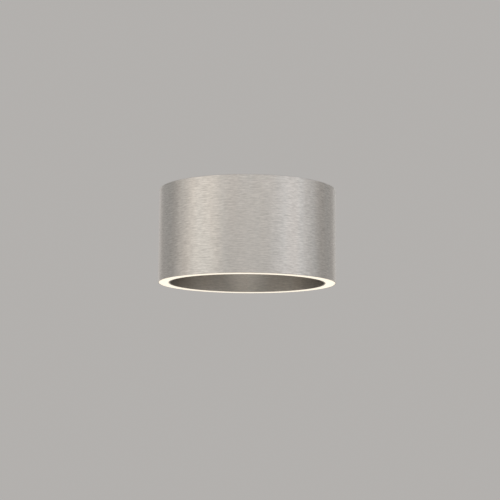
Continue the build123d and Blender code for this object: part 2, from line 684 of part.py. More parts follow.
def earth_lead():
    route = [
        (POLES["earth"], WIRE_Y, BLOCK_LOW + 3),
        (POLES["earth"], WIRE_Y, -22.5),
        (EARTH_X, EARTH_LEAD_Y, -24.8),
        (EARTH_X, EARTH_LEAD_Y, EARTH_Z - 5.0),
    ]
    return lead("earth lead", route, (5.5, 3.9), MAINS_LEAD)


# ---- every node, by name ----
def nodes():
    board, ring_of_leds, lens, feed = led_board(), leds(), diffuser(), lamp_lead()
    made = {
        "outer_sleeve": outer_sleeve(),
        "inner_sleeve": inner_sleeve(),
        "core_ring": core_ring(),
        "core_set_screws": core_set_screws(),
        "led_board_upper": board,
        "led_board_lower": upside_down(board),
        "leds_upper": ring_of_leds,
        "leds_lower": [upside_down(one) for one in ring_of_leds],
        "board_screws": board_screws(),
        "solder_joints": solder_joints(),
        "diffuser_upper": lens,
        "diffuser_lower": upside_down(lens),
        "lead_positive": feed,
        "lead_negative": upside_down(feed),
        "link_lead": link_lead(),
        "saddle_plate": saddle_plate(),
        "saddle_screws": saddle_screws(),
        "wire_bush": wire_bush(),
        "wall_box": wall_box(),
        "box_screws": box_screws(),
        "lock_screws": lock_screws(),
        "driver_case": driver_case(),
        "driver_lid": driver_lid(),
        "driver_board": driver_board(),
        "driver_transformer": driver_transformer(),
        "driver_windings": driver_windings(),
        "driver_capacitors": driver_capacitors(),
        "driver_choke": driver_choke(),
        "driver_parts": driver_parts(),
        "driver_screws": driver_screws(),
        "wall_bracket": wall_bracket(),
        "entry_bush": entry_bush(),
        "terminal_block": terminal_block(),
        "terminal_base": terminal_base(),
        "terminal_clamps": terminal_clamps(),
        "terminal_screws": terminal_screws(),
        "line_lead": line_lead(),
        "neutral_lead": neutral_lead(),
        "earth_lead": earth_lead(),
        "earth_lug": earth_lug(),
        "earth_screw": earth_screw(),
    }
    for pole, x in POLES.items():
        made[f"release_button_{pole}"] = release_button(x)
    return made


def solids_of(shape):
    """Every separate solid of a shape or of a list of shapes."""
    shapes = shape if isinstance(shape, list) else [shape]
    return [solid for one in shapes for solid in one.solids()]


os.makedirs(OUT, exist_ok=True)
for node, shape in nodes().items():
    solids = solids_of(shape)
    whole = solids[0] if len(solids) == 1 else Compound(children=solids)
    export_step(whole, f"{OUT}/{node}.step")
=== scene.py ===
"""Tube wall light: the finishes and finer pieces of the light, and a plain studio round it.

The light is a short upright tube of brushed metal with a lit ring in each end, carried by a box
on a wall bracket. The wall is the plane y = 0, the light faces -Y, and lengths are in metres.
"""

import math

import bpy
import numpy as np
from bpy.props import FloatProperty, FloatVectorProperty, PointerProperty
from bpy.types import Operator, Panel, PropertyGroup
from mathutils import Matrix, Vector


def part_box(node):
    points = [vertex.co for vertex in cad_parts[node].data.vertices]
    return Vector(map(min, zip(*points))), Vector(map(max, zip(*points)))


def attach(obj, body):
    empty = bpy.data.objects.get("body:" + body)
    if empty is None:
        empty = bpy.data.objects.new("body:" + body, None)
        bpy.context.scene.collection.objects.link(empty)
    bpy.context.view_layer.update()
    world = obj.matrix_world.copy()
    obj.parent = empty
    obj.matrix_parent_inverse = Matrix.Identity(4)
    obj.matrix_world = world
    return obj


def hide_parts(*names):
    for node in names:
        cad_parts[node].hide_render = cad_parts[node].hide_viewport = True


bl_info = {
    "name": "Tube wall light",
    "version": (1, 0, 0),
    "blender": (4, 5, 0),
    "location": "3D View > Sidebar > Wall light",
    "description": "Dresses the pieces of a tube wall light and sets up its studio",
    "category": "Object",
}

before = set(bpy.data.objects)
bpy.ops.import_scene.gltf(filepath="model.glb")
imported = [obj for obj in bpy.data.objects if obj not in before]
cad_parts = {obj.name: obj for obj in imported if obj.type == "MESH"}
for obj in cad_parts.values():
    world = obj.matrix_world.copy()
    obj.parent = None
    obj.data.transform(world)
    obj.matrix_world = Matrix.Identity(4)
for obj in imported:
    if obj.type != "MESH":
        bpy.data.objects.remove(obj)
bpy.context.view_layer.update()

# The tube's own axis and radii, read from its sleeves, and the outer one's wall. The bore sleeve's
# radius is that of its outside.
SLEEVE_LOW, SLEEVE_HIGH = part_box("outer_sleeve")
BORE_LOW, BORE_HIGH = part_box("inner_sleeve")
AXIS_Y = (SLEEVE_LOW.y + SLEEVE_HIGH.y) / 2
TUBE_R = (SLEEVE_HIGH.x - SLEEVE_LOW.x) / 2
BORE_SLEEVE_R = (BORE_HIGH.x - BORE_LOW.x) / 2
OUTER_WALL = 0.0008
MIDDLE_R = (TUBE_R - OUTER_WALL + BORE_SLEEVE_R) / 2

FIXTURE = "fixture"
MM = 0.001
FRONT, BACK = (0.0, -1.0, 0.0), (0.0, 1.0, 0.0)
LEFT, RIGHT = (-1.0, 0.0, 0.0), (1.0, 0.0, 0.0)
DOWN, UP = (0.0, 0.0, -1.0), (0.0, 0.0, 1.0)

# Each opal ring is brightest up to the first of these distances from its middle line, and has
# fallen to the rim's shade at the second.
GLOW_FALL = (0.0024, 0.0041)
RIM_SHADE = 0.96

# The LED boards' two round tracks lie between these distances from the middle line. A spoke takes
# up this share of each LED's part of the ring.
LED_COUNT = 48
ROUND_TRACK = (0.0019, 0.0028)
SPOKE_REACH, SPOKE_SHARE = 0.0024, 0.12

# The driver's board has its tracks on a grid, each as wide as this part of the grid's pitch.
TRACK_PITCH, TRACK_LENGTH = 0.00127, 0.0055
TRACK_BAND = (0.28, 0.72)

# Places on the CAD pieces: the x that the driver's mains end lies beyond, its two wound
# capacitors, as x, z, radius and top, and the earth lead's middle, as x and y, at its two ends.
# What lies further than EARTH_STRIPE in front of that middle or behind it has the second colour.
MAINS_END = -0.02
CAPACITORS = ((0.016, 0.0065, 0.0045, -0.0264), (0.016, -0.0075, 0.003, -0.0289))
EARTH_LEAD = ((0.012, -0.008), (0.032, -0.0049))
EARTH_STRIPE = 0.00075

# From here to the coils, sizes are in millimetres. A pan head screw has the radius, pitch and
# length of its thread, and the radius and height of its head. The table gives each CAD node's
# screw, the way its head faces and the points of its seats.
BOARD_SCREW = (1.0, 0.4, 5.0, 1.9, 1.2)
BOARD_SCREW_ANGLES = range(0, 360, 60)
PAN_SCREWS = {
    "saddle_screws": ((2.0, 0.7, 13.7, 3.8, 2.4), BACK, [(x, -52.0, z) for x in (-18, 18) for z in (-8, 8)]),
    "driver_screws": ((1.5, 0.5, 8.0, 2.75, 1.8), BACK, [(36.5, -42.0, -9.0), (-36.5, -42.0, 9.0)]),
    "terminal_screws": ((1.5, 0.5, 13.7, 2.75, 1.6), FRONT, [(-6.0, -14.0, -7.75), (6.0, -14.0, -7.75)]),
    "earth_screw": ((2.0, 0.7, 3.6, 3.5, 2.2), FRONT, [(32.0, -3.8, -12.0)]),
}

# The other screws are M3. The set screws in the core ring end this far outside the bore sleeve.
# Each countersunk screw has a length, and a point and a way for each of its heads.
M3, M3_PITCH = 1.5, 0.5
SET_SCREW_LENGTH, SET_SCREW_END = 6.0, 6.05
SET_SCREW_ANGLES = (30, 150, 270)
SET_SCREW_RIM, SET_SCREW_SOCKET = [(1.3, 0.0), (1.5, -0.2)], (0.75, 2.0)
FLAT_HEAD, FLAT_SOCKET = 2.9, (0.975, 1.2)
FLAT_SCREWS = {
    "box_screws": (5.0, [((x, -53.0, way[2] * 29.0), way) for x in (-28, 28) for way in (DOWN, UP)]),
    "lock_screws": (6.0, [((-46.0, -9.0, 0.0), LEFT), ((46.0, -9.0, 0.0), RIGHT)]),
}

# Half the length and width of an LED's window, and its height.
LED_WINDOW = (1.05, 1.35, 0.12)

# The transformer's coil: half its length and width, the same of its hole, half its height, and
# its middle. The choke's coil: turns, radius, pitch, the wire's radius, and the foot.
TRANSFORMER_COIL, TRANSFORMER_MIDDLE = ((4.8, 5.2), (2.0, 2.5), 5.6), (2.0, -31.9, 0.0)
CHOKE_COIL, CHOKE_FOOT = (9, 3.5, 0.6, 0.29), (-13.5, -37.1, -6.5)


# ---------------------------------------------------------------- node graphs
class Graph:
    """A material's node tree, with short calls for the nodes that the finishes share."""

    def __init__(self, name):
        self.material = bpy.data.materials.new(name)
        self.material.use_nodes = True
        self.tree = self.material.node_tree
        self.tree.nodes.clear()
        self.shader = self.tree.nodes.new("ShaderNodeBsdfPrincipled")
        output = self.tree.nodes.new("ShaderNodeOutputMaterial")
        self.tree.links.new(self.shader.outputs["BSDF"], output.inputs["Surface"])

    def put(self, value, socket):
        """Sets a socket, or links another node's output to it."""
        if isinstance(value, bpy.types.NodeSocket):
            self.tree.links.new(value, socket)
        elif socket.type == "RGBA" and len(value) == 3:
            socket.default_value = (*value, 1.0)
        else:
            socket.default_value = value

    def node(self, kind, inputs=None, **settings):
        made = self.tree.nodes.new(kind)
        for key, value in settings.items():
            setattr(made, key, value)
        for key, value in (inputs or {}).items():
            self.put(value, made.inputs[key])
        return made

    def surface(self, **values):
        """Sets the shader's sockets, with underscores for the spaces in their names."""
        for key, value in values.items():
            self.put(value, self.shader.inputs[key.replace("_", " ")])
        return self.material

    def maths(self, operation, first, second=0.0, third=0.0):
        return self.node("ShaderNodeMath", {0: first, 1: second, 2: third}, operation=operation).outputs[0]

    def place(self, centre=(0.0, 0.0, 0.0)):
        """The x, y and z of a point on the piece, counted from a centre."""
        coordinates = self.node("ShaderNodeTexCoord").outputs["Object"]
        shifted = self.node("ShaderNodeVectorMath", {0: coordinates, 1: centre}, operation="SUBTRACT")
        parts = self.node("ShaderNodeSeparateXYZ", {0: shifted.outputs[0]})
        return parts.outputs

    def length(self, first, second):
        """The length of a line with these two parts at right angles."""
        squares = [self.maths("MULTIPLY", part, part) for part in (first, second)]
        return self.maths("SQRT", self.maths("ADD", *squares))

    def within(self, value, low, high):
        """1 between two values and 0 outside them."""
        above = self.maths("GREATER_THAN", value, low)
        return self.maths("MULTIPLY", above, self.maths("LESS_THAN", value, high))

    def vector(self, x, y, z):
        return self.node("ShaderNodeCombineXYZ", {0: x, 1: y, 2: z}).outputs[0]

    def scaled(self, place, x, y, z):
        """A vector of the place's parts, each times its own number."""
        parts = [self.maths("MULTIPLY", part, number) for part, number in zip(place, (x, y, z))]
        return self.vector(*parts)

    def noise(self, vector, detail=2.0, roughness=0.5):
        inputs = {"Vector": vector, "Scale": 1.0, "Detail": detail, "Roughness": roughness}
        return self.node("ShaderNodeTexNoise", inputs).outputs["Fac"]

    def cells(self, vector):
        """Cells round a scatter of points, each with a random colour."""
        return self.node("ShaderNodeTexVoronoi", {"Vector": vector, "Scale": 1.0}).outputs["Color"]

    def spread(self, value, low, high, to_low, to_high):
        """Carries low..high to to_low..to_high, and holds it there beyond."""
        inputs = {"Value": value, "From Min": low, "From Max": high, "To Min": to_low, "To Max": to_high}
        return self.node("ShaderNodeMapRange", inputs).outputs["Result"]

    def blend(self, share, first, second, blend_type="MIX"):
        made = self.node("ShaderNodeMix", data_type="RGBA", blend_type=blend_type)
        colours = [s for s in made.inputs if s.type == "RGBA"]
        self.put(share, made.inputs[0])
        self.put(first, colours[0])
        self.put(second, colours[1])
        return next(s for s in made.outputs if s.type == "RGBA")

    def grain(self, place, fineness, detail=2.0):
        """A noise that is equally fine every way, with so many waves to the metre."""
        return self.noise(self.scaled(place, fineness, fineness, fineness), detail=detail)

    def level(self, noise, low, high):
        """Carries the values that a noise mostly takes to low..high."""
        return self.spread(noise, 0.3, 0.7, low, high)

    def shades(self, noise, dark, light):
        """A colour that goes from dark to light as the noise says."""
        return self.blend(self.level(noise, 0.0, 1.0), dark, light)

    def bump(self, height, depth):
        inputs = {"Height": height, "Distance": depth, "Strength": 1.0}
        return self.node("ShaderNodeBump", inputs).outputs["Normal"]


def dress(material, *nodes):
    """Gives a material to whole CAD nodes or pieces."""
    for name in nodes:
        piece = bpy.data.objects[name]
        piece.data.materials.clear()
        piece.data.materials.append(material)


# ---------------------------------------------------------------- finishes
LINE_VALUES = (0.36, 0.64)    # the values that the brush lines' noise mostly takes
LINE_DEPTH = 0.00002


def shade(colour, factor):
    return tuple(part * factor for part in colour)


def brush_lines(graph, along, across, depth, finish):
    """Brush lines on a surface whose brush ran along one way.

    Three noises are stretched along the brush and squeezed across it: short dashes, a line width
    high, longer ones less than half as high, and hair lines a tenth as high. Their mean stays
    near 0.5.
    """
    layers = ((1.0, 1.0, 0.28), (2.6, 0.42, 0.42), (4.5, 0.1, 0.30))
    total = 0.0
    for longer, finer, weight in layers:
        width = finish.line_width * finer
        stretched = graph.vector(
            graph.maths("DIVIDE", along, finish.line_length * longer),
            graph.maths("DIVIDE", across, width),
            graph.maths("DIVIDE", depth, width),
        )
        lines = graph.noise(stretched, detail=2.0, roughness=0.55)
        total = graph.maths("MULTIPLY_ADD", lines, weight, total)
    return total


def brushed_tone(graph, lines, tint, colour, finish):
    """The metal's colour: darker and lighter along the lines, and a slow warm and cool tint."""
    share = graph.spread(lines, *LINE_VALUES, 0.0, 1.0)
    dark = shade(colour, 1.0 - finish.line_contrast)
    light = shade(colour, 1.0 + finish.line_contrast)
    warm, cool = (1.0, 0.985, 0.975), (0.975, 0.99, 1.0)
    tinted = graph.blend(graph.spread(tint, 0.35, 0.65, 0.0, 1.0), warm, cool)
    return graph.blend(1.0, graph.blend(share, dark, light), tinted, "MULTIPLY")


def brushed_round(name, finish, colour, radius):
    """Metal brushed round an upright tube.

    A point's way round the tube is its angle, atan2(x, -y), times the radius, so the seam is at
    the back.
    """
    graph = Graph(name)
    x, y, z = graph.place((0.0, AXIS_Y, 0.0))
    angle = graph.maths("ARCTAN2", x, graph.maths("MULTIPLY", y, -1.0))
    way = graph.maths("MULTIPLY", angle, radius)
    lines = brush_lines(graph, way, z, 0.0, finish)
    tint_place = graph.vector(graph.maths("MULTIPLY", way, 45.0), graph.maths("MULTIPLY", z, 6.0), 3.0)
    tint = graph.noise(tint_place)
    tangent = graph.node("ShaderNodeTangent", direction_type="RADIAL", axis="Z").outputs[0]
    return graph.surface(
        Base_Color=brushed_tone(graph, lines, tint, colour, finish),
        Metallic=1.0,
        Roughness=graph.spread(lines, *LINE_VALUES, finish.roughness + 0.05, finish.roughness - 0.05),
        Anisotropic=0.6,
        Anisotropic_Rotation=0.25,
        Tangent=tangent,
        Normal=graph.bump(lines, LINE_DEPTH),
    )


def brushed_along(name, finish):
    """Metal brushed along Y, as a drawn section is."""
    graph = Graph(name)
    x, y, z = graph.place()
    lines = brush_lines(graph, y, z, x, finish)
    tint = graph.noise(graph.scaled((x, y, z), 45.0, 10.0, 45.0))
    return graph.surface(
        Base_Color=brushed_tone(graph, lines, tint, finish.colour, finish),
        Metallic=1.0,
        Roughness=graph.spread(lines, *LINE_VALUES, finish.roughness + 0.05, finish.roughness - 0.05),
        Normal=graph.bump(lines, LINE_DEPTH),
    )


def opal(name, ring):
    """Opal acrylic, lit from behind; the light falls off a little towards the ring's two rims."""
    graph = Graph(name)
    x, y, _ = graph.place((0.0, AXIS_Y, 0.0))
    off = graph.maths("ABSOLUTE", graph.maths("SUBTRACT", graph.length(x, y), MIDDLE_R))
    glow = graph.spread(off, *GLOW_FALL, 1.0, 0.0)
    return graph.surface(
        Base_Color=(0.62, 0.60, 0.56),
        Roughness=0.38,
        Subsurface_Weight=0.2,
        Subsurface_Radius=(0.004, 0.0035, 0.003),
        Emission_Color=graph.blend(glow, shade(ring.colour, RIM_SHADE), ring.colour),
        Emission_Strength=ring.strength,
    )


def turned_metal(name, colour, pitch=0.0004):
    """Bare turned or milled metal: fine cutter lines in height, and a slow cloud."""
    graph = Graph(name)
    place = graph.place((0.0, AXIS_Y, 0.0))
    lines = graph.noise(graph.scaled(place, 60.0, 60.0, 1.0 / pitch), detail=3.0, roughness=0.55)
    cloud = graph.grain(place, 70.0)
    tone = graph.blend(graph.spread(lines, 0.35, 0.65, 0.0, 1.0), shade(colour, 0.92), shade(colour, 1.05))
    return graph.surface(
        Base_Color=graph.blend(graph.level(cloud, 0.0, 0.35), tone, shade(colour, 0.85)),
        Metallic=1.0,
        Roughness=graph.spread(lines, 0.35, 0.65, 0.38, 0.28),
        Normal=graph.bump(lines, 0.00003),
    )


def plated_steel(name, colour, roughness=0.27):
    """Plated or tinned metal: bright, with a faint stain and small dents from the press."""
    graph = Graph(name)
    place = graph.place()
    stain = graph.grain(place, 420.0, detail=3.0)
    dents = graph.grain(place, 2400.0)
    return graph.surface(
        Base_Color=graph.shades(stain, shade(colour, 0.86), shade(colour, 1.06)),
        Metallic=1.0,
        Roughness=graph.level(stain, roughness + 0.1, roughness - 0.05),
        Normal=graph.bump(dents, 0.00001),
    )


def galvanised_sheet(name, colour):
    """Galvanised steel: cells of zinc, each with its own tone and gloss, and a fine pitting."""
    graph = Graph(name)
    place = graph.place()
    spot = graph.scaled(place, 380.0, 380.0, 380.0)
    tone = graph.node("ShaderNodeSeparateColor", {0: graph.cells(spot)}).outputs[0]
    pits = graph.grain(place, 1800.0)
    return graph.surface(
        Base_Color=graph.blend(tone, shade(colour, 0.90), shade(colour, 1.06)),
        Metallic=1.0,
        Roughness=graph.spread(tone, 0.0, 1.0, 0.38, 0.48),
        Normal=graph.bump(pits, 0.00002),
    )


def moulded(name, colour, roughness, coat=0.0):
    """Moulded plastic: a spark-eroded skin, a slow change of tone and a little change of gloss."""
    graph = Graph(name)
    place = graph.place()
    skin = graph.grain(place, 2600.0)
    flow = graph.grain(place, 120.0)
    return graph.surface(
        Base_Color=graph.shades(flow, shade(colour, 0.94), shade(colour, 1.03)),
        Roughness=graph.level(skin, roughness + 0.05, roughness - 0.05),
        Coat_Weight=coat,
        Normal=graph.bump(skin, 0.00002),
    )


def insulation(name, colour, second=None):
    """PVC insulation with a waxy gloss.

    The earth lead's has a stripe of a second colour along its front and its back. The lead's
    middle lies at one y in the terminal and at another in the lug, with a straight run between.
    """
    graph = Graph(name)
    place = graph.place()
    wax = graph.grain(place, 900.0)
    tone = graph.shades(wax, shade(colour, 0.9), shade(colour, 1.06))
    if second:
        (start_x, start_y), (end_x, end_y) = EARTH_LEAD
        middle = graph.spread(place[0], start_x, end_x, start_y, end_y)
        off = graph.maths("ABSOLUTE", graph.maths("SUBTRACT", place[1], middle))
        tone = graph.blend(graph.maths("GREATER_THAN", off, EARTH_STRIPE), tone, second)
    return graph.surface(
        Base_Color=tone,
        Roughness=graph.level(wax, 0.42, 0.34),
        Coat_Weight=0.1,
        Normal=graph.bump(wax, 0.00001),
    )


def circuit_board(name, mask, trace):
    """Solder mask over copper tracks, which run along x and along z on a grid.

    A track fills the middle of its grid line, and a random number for each stretch of the line
    says whether it is there.
    """
    graph = Graph(name)
    x, y, z = graph.place()
    track = 0.0
    for across, along, share in ((z, x, 0.45), (x, z, 0.6)):
        line = graph.maths("DIVIDE", across, TRACK_PITCH)
        stretch = graph.maths("DIVIDE", along, TRACK_LENGTH)
        spot = graph.vector(graph.maths("FLOOR", line), graph.maths("FLOOR", stretch), share)
        there = graph.node("ShaderNodeTexWhiteNoise", {"Vector": spot}).outputs["Value"]
        band = graph.within(graph.maths("FRACT", line), *TRACK_BAND)
        here = graph.maths("MULTIPLY", band, graph.maths("GREATER_THAN", there, share))
        track = graph.maths("MAXIMUM", here, track)
    weave = graph.grain((x, y, z), 1500.0)
    tone = graph.shades(weave, shade(mask, 0.88), shade(mask, 1.08))
    return graph.surface(
        Base_Color=graph.blend(track, tone, trace),
        Roughness=graph.level(weave, 0.34, 0.26),
        Coat_Weight=0.3,
        Normal=graph.bump(track, 0.00003),
    )


def led_board_mask(name):
    """White solder mask on a ring of aluminium: two round tracks and a spoke between them per LED."""
    graph = Graph(name)
    x, y, z = graph.place((0.0, AXIS_Y, 0.0))
    off = graph.maths("SUBTRACT", graph.length(x, y), MIDDLE_R)
    round_track = graph.within(graph.maths("ABSOLUTE", off), *ROUND_TRACK)
    turn = graph.maths("MULTIPLY", graph.maths("ARCTAN2", y, x), LED_COUNT / (2 * math.pi))
    spoke = graph.within(graph.maths("FRACT", turn), 0.0, SPOKE_SHARE)
    inside = graph.maths("LESS_THAN", graph.maths("ABSOLUTE", off), SPOKE_REACH)
    track = graph.maths("MAXIMUM", round_track, graph.maths("MULTIPLY", spoke, inside))
    weave = graph.grain((x, y, z), 1500.0)
    tone = graph.shades(weave, (0.80, 0.80, 0.78), (0.88, 0.88, 0.86))
    return graph.surface(
        Base_Color=graph.blend(track, tone, (0.74, 0.74, 0.70)),
        Roughness=graph.level(weave, 0.36, 0.28),
        Coat_Weight=0.2,
        Normal=graph.bump(track, 0.00004),
    )


def capacitors(name):
    """The driver's two wound capacitors with bare tops and a pale stripe, and a film one.

    A bare top reaches out to 0.84 of its capacitor's radius. The stripe starts at 0.72 of it.
    """
    graph = Graph(name)
    x, y, z = graph.place()
    film = graph.maths("LESS_THAN", x, 0.0)
    rim, stripe = 0.0, 0.0
    for centre_x, centre_z, radius, top in CAPACITORS:
        across = graph.maths("SUBTRACT", x, centre_x)
        along = graph.maths("SUBTRACT", z, centre_z)
        near = graph.maths("LESS_THAN", graph.length(across, along), radius * 0.84)
        bare = graph.maths("MULTIPLY", near, graph.maths("GREATER_THAN", y, top - 0.0003))
        rim = graph.maths("MAXIMUM", bare, rim)
        band = graph.within(across, 0.72 * radius, 1.1 * radius)
        here = graph.within(along, -radius, radius)
        stripe = graph.maths("MAXIMUM", graph.maths("MULTIPLY", band, here), stripe)
    skin = graph.grain((x, y, z), 1800.0)
    sleeve = graph.blend(stripe, (0.02, 0.025, 0.05), (0.42, 0.44, 0.48))
    plastic = graph.blend(film, sleeve, (0.55, 0.36, 0.05))
    return graph.surface(
        Base_Color=graph.blend(rim, plastic, (0.70, 0.70, 0.71)),
        Metallic=rim,
        Roughness=graph.level(skin, 0.32, 0.24),
        Normal=graph.bump(skin, 0.00001),
    )


def small_parts(name):
    """The driver's small parts: black moulded cases, and at the mains end a blue disc and a fuse."""
    graph = Graph(name)
    x, y, z = graph.place()
    mains = graph.maths("LESS_THAN", x, MAINS_END)
    skin = graph.grain((x, y, z), 2600.0)
    disc_or_fuse = graph.blend(graph.maths("GREATER_THAN", z, 0.0), (0.03, 0.12, 0.36), (0.20, 0.12, 0.06))
    black = graph.shades(skin, (0.026, 0.026, 0.028), (0.036, 0.036, 0.038))
    return graph.surface(
        Base_Color=graph.blend(mains, black, disc_or_fuse),
        Roughness=graph.level(skin, 0.45, 0.35),
        Normal=graph.bump(skin, 0.00002),
    )


# ---------------------------------------------------------------- surfaces
def add_surface(name, grids, material, replaces=(), ring=False):
    """Makes one piece of several equal grids of points, and lets it ride with the light.

    The grids are an array of shape (copies, rows, columns, 3), in millimetres. The columns run
    round and close on themselves. The rows of a ring do so too. Without ring, the first and the
    last row of each grid are single points, so that its ends are closed.
    """
    copies, rows, columns, _ = grids.shape
    body = grids if ring else grids[:, 1:-1]
    inner = body.shape[1]
    points = body.reshape(copies, inner * columns, 3)
    number = np.arange(inner * columns).reshape(inner, columns)
    below = number if ring else number[:-1]
    above = np.roll(number, -1, axis=0) if ring else number[1:]
    quads = np.stack([below, above, np.roll(above, -1, axis=1), np.roll(below, -1, axis=1)], axis=-1)
    triangles = np.zeros((0, 3), int)
    if not ring:
        points = np.concatenate([points, grids[:, :1, 0], grids[:, -1:, 0]], axis=1)
        after = np.roll(number, -1, axis=1)
        first, last = np.full(columns, inner * columns), np.full(columns, inner * columns + 1)
        start = np.stack([first, number[0], after[0]], axis=-1)
        end = np.stack([number[-1], last, after[-1]], axis=-1)
        triangles = np.concatenate([start, end])
    step = points.shape[1] * np.arange(copies)[:, None, None]
    triangles = (triangles[None] + step).reshape(-1, 3)
    quads = (quads.reshape(1, -1, 4) + step).reshape(-1, 4)
    corners = np.concatenate([triangles.ravel(), quads.ravel()])
    sides = np.concatenate([np.full(len(triangles), 3), np.full(len(quads), 4)])
    starts = np.concatenate([[0], np.cumsum(sides)[:-1]])

    mesh = bpy.data.meshes.new(name)
    mesh.vertices.add(copies * points.shape[1])
    mesh.vertices.foreach_set("co", (points * MM).ravel())
    mesh.loops.add(len(corners))
    mesh.loops.foreach_set("vertex_index", corners)
    mesh.polygons.add(len(sides))
    mesh.polygons.foreach_set("loop_start", starts)
    mesh.polygons.foreach_set("loop_total", sides)
    mesh.polygons.foreach_set("use_smooth", np.ones(len(sides), bool))
    mesh.update(calc_edges=True)
    mesh.validate()
    mesh.set_sharp_from_angle(angle=math.radians(38))
    piece = bpy.data.objects.new(name, mesh)
    bpy.context.collection.objects.link(piece)
    mesh.materials.append(material)
    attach(piece, FIXTURE)
    if replaces:
        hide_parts(*replaces)
    return piece


def stand(grid, points, outward):
    """Copies of a grid made about Z, moved so that each copy's +Z points outward from its point."""
    out = np.asarray(outward, float)
    helper = np.where(np.abs(out[:, 2:]) > 0.9, [[1.0, 0.0, 0.0]], [[0.0, 0.0, 1.0]])
    first = np.cross(helper, out)
    first = first / np.linalg.norm(first, axis=1, keepdims=True)
    axes = np.stack([first, np.cross(out, first), out], axis=1)
    return np.asarray(points, float)[:, None, None] + np.einsum("rci,nij->nrcj", grid, axes)


def turned(grid, degrees):
    """Copies of a grid, turned about the tube's axis by so many degrees each."""
    turn = np.radians(np.asarray(degrees, float))
    c, s, zero, one = np.cos(turn), np.sin(turn), np.zeros_like(turn), np.ones_like(turn)
    axes = np.stack([c, s, zero, -s, c, zero, zero, zero, one], axis=-1).reshape(-1, 3, 3)
    return np.einsum("rci,nij->nrcj", grid, axes) + [0.0, AXIS_Y / MM, 0.0]


def on_circle(radius, degrees):
    """Points and outward directions on a circle about the tube's axis; 270 degrees is the front."""
    turn = np.radians(np.asarray(degrees, float))
    out = np.stack([np.cos(turn), np.sin(turn), np.zeros_like(turn)], axis=-1)
    return radius * out + [0.0, AXIS_Y / MM, 0.0], out


def screw_grid(thread, pitch, length, head, socket, columns=36):
    """A screw that points down, with its head's seat or its countersunk top at z = 0.

    The head is an outline of radii and heights, and the socket is its half width and its depth.
    Each row has a radius and a height. The socket's rows are hexagons, whose radius is the
    half width over the cosine of the angle to the nearest flat. The shank's radius is the
    thread's less a cosine wave of the height over the pitch less the way round, which makes the
    thread's helix, and it fades out at both ends.
    """
    way = np.linspace(0.0, 2 * np.pi, columns, endpoint=False)
    across, depth = socket
    top = head[0][1]
    flat = 1.0 / np.cos((way + np.pi / 6) % (np.pi / 3) - np.pi / 6)
    hexagons = np.array([
        [0.0, top - depth - 0.15],
        [across, top - depth],
        [across, top - 0.06],
        [across + 0.06, top],
    ])
    socket_r = hexagons[:, :1] * flat
    socket_z = np.repeat(hexagons[:, 1:], columns, axis=1)

    outline = np.array(head)
    head_r = np.repeat(outline[:, :1], columns, axis=1)
    head_z = np.repeat(outline[:, 1:], columns, axis=1)

    seat = min(outline[-1, 1], 0.0)
    tip = 0.3 * thread
    height = np.linspace(seat - 0.02, tip - length, int(9 * (length + seat) / pitch))[:, None]
    fade = np.clip((seat - height) / pitch, 0, 1) * np.clip((height - tip + length) / pitch + 0.2, 0, 1)
    wave = 0.5 - 0.5 * np.cos(2 * np.pi * height / pitch - way)
    shank_r = thread - 0.55 * pitch * fade * wave
    shank_z = np.repeat(height, columns, axis=1)

    end_r = np.array([[thread - tip], [0.0]]) * np.ones(columns)
    end_z = np.full((2, columns), -length)
    radius = np.concatenate([socket_r, head_r, shank_r, end_r])
    z = np.concatenate([socket_z, head_z, shank_z, end_z])
    return np.stack([radius * np.cos(way), radius * np.sin(way), z], axis=-1)


def pan_screw(size, columns=36):
    """A screw with a low domed head: a flat top, a quarter circle and a straight side."""
    thread, pitch, length, head, height = size
    dome = 0.45 * height
    turn = np.linspace(np.pi / 2, 0.0, 6)
    crown = [(head - dome + dome * math.cos(t), height - dome + dome * math.sin(t)) for t in turn]
    outline = [*crown, (head, 0.0), (thread, 0.0)]
    return screw_grid(thread, pitch, length, outline, (0.65 * thread, 0.55 * height), columns)


def flat_screw(length):
    """An M3 screw with a countersunk head, which has a small bevel and a narrow rim."""
    bevel, rim = 0.08, 0.2
    foot = (M3, M3 - FLAT_HEAD - rim)
    outline = [(FLAT_HEAD - bevel, 0.0), (FLAT_HEAD, -bevel), (FLAT_HEAD, -rim), foot]
    return screw_grid(M3, M3_PITCH, length, outline, FLAT_SOCKET)


def dome_grid(half_length, half_width, height, columns=12):
    """A low dome over a rounded rectangle, with its rim at z = 0 and its foot a little lower.

    The outline is the superellipse with the exponent 5: half the length times the cosine's size
    to the power 2/5, with its sign, and the same of the width and the sine. The height falls with
    the fourth power of the way out.
    """
    way = np.linspace(0.0, 2 * np.pi, columns, endpoint=False)
    x = half_length * np.sign(np.cos(way)) * np.abs(np.cos(way)) ** 0.4
    y = half_width * np.sign(np.sin(way)) * np.abs(np.sin(way)) ** 0.4
    share = np.array([0.0, 0.6, 0.9, 1.0, 1.0, 0.0])
    level = np.array([1.0, 0.87, 0.34, 0.0, -0.5, -0.5]) * height
    grid = [share[:, None] * x, share[:, None] * y, level[:, None] * np.ones(columns)]
    return np.stack(grid, axis=-1)


def coil_grid(turns, radius, pitch, wire, per_turn=28, columns=8):
    """A wire wound round Z: a circle carried along a helix that starts at z = 0."""
    along = np.linspace(0.0, 2 * np.pi * turns, int(per_turn * turns))[:, None]
    way = np.linspace(0.0, 2 * np.pi, columns, endpoint=False)
    reach = radius + wire * np.cos(way)
    z = pitch * along / (2 * np.pi) + wire * np.sin(way)
    body = np.stack([reach * np.cos(along), reach * np.sin(along), z], axis=-1)
    tips = along[[0, -1], 0]
    middles = np.stack([radius * np.cos(tips), radius * np.sin(tips), pitch * tips / (2 * np.pi)], axis=-1)
    start, end = middles[:, None, None] * np.ones((1, columns, 1))
    return np.concatenate([start, body, end])


